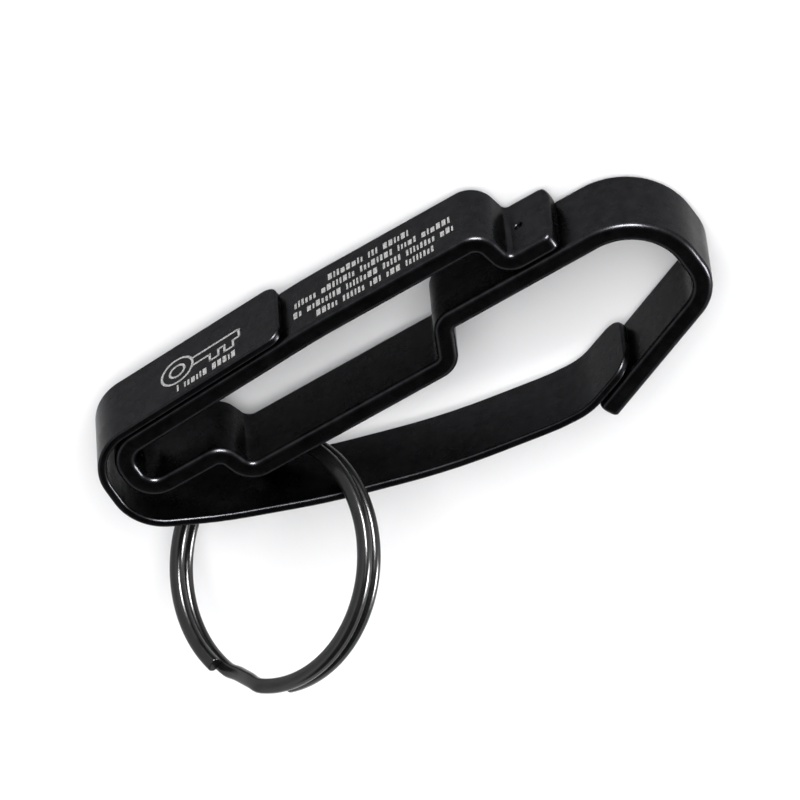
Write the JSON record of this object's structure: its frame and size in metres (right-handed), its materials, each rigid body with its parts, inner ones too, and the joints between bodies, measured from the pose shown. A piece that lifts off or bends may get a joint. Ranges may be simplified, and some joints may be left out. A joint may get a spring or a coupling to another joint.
{
  "type": "belt key holder",
  "caption": "Belt key holder bent from flat spring steel, with a sprung belt gate, a sprung key gate and a split ring on its outer loop.",
  "frame": {"origin": "centre of the footprint, level with the lowest point of the split ring", "axes": "+X along the holder from the nose loop towards the belt loop, +Y from the belt gate towards the key gate, +Z along the width of the strips"},
  "size_m": [0.0902, 0.0432, 0.0311],
  "materials": {
    "black_steel": "satin black coat on tumbled spring steel",
    "ring_steel": "glossy black coat",
    "bare_steel": "bare weld metal"
  },
  "bodies": {
    "holder": {"frame_strip": "black_steel", "anchor_plate": "black_steel", "weld_nuggets": "bare_steel"},
    "key_tab": {"key_gate": "black_steel"},
    "belt_gate": {"gate_blade": "black_steel"},
    "ring": {"split_ring": "ring_steel"}
  },
  "joints": [
    {"name": "key_gate_flex", "type": "hinge", "parent": "holder", "child": "key_tab", "pos_m": [-0.00508, 0.02034, 0.00978], "axis": [0, 0, 1], "range_deg": [0, 5], "stiffness_Nm_per_rad": 3},
    {"name": "belt_gate_flex", "type": "hinge", "parent": "holder", "child": "belt_gate", "pos_m": [-0.03248, 0.01162, 0.00978], "axis": [0, 0, 1], "range_deg": [0, 4.5], "stiffness_Nm_per_rad": 3},
    {"name": "ring_swing", "type": "hinge", "parent": "belt_gate", "child": "ring", "pos_m": [-0.02058, -0.00287, 0.00978], "axis": [-0.9046, 0.3502, -0.2432], "range_deg": [0, 14]}
  ],
  "couplings": [
    {"joint": "ring_swing", "follows": "belt_gate_flex", "ratio": 3}
  ]
}
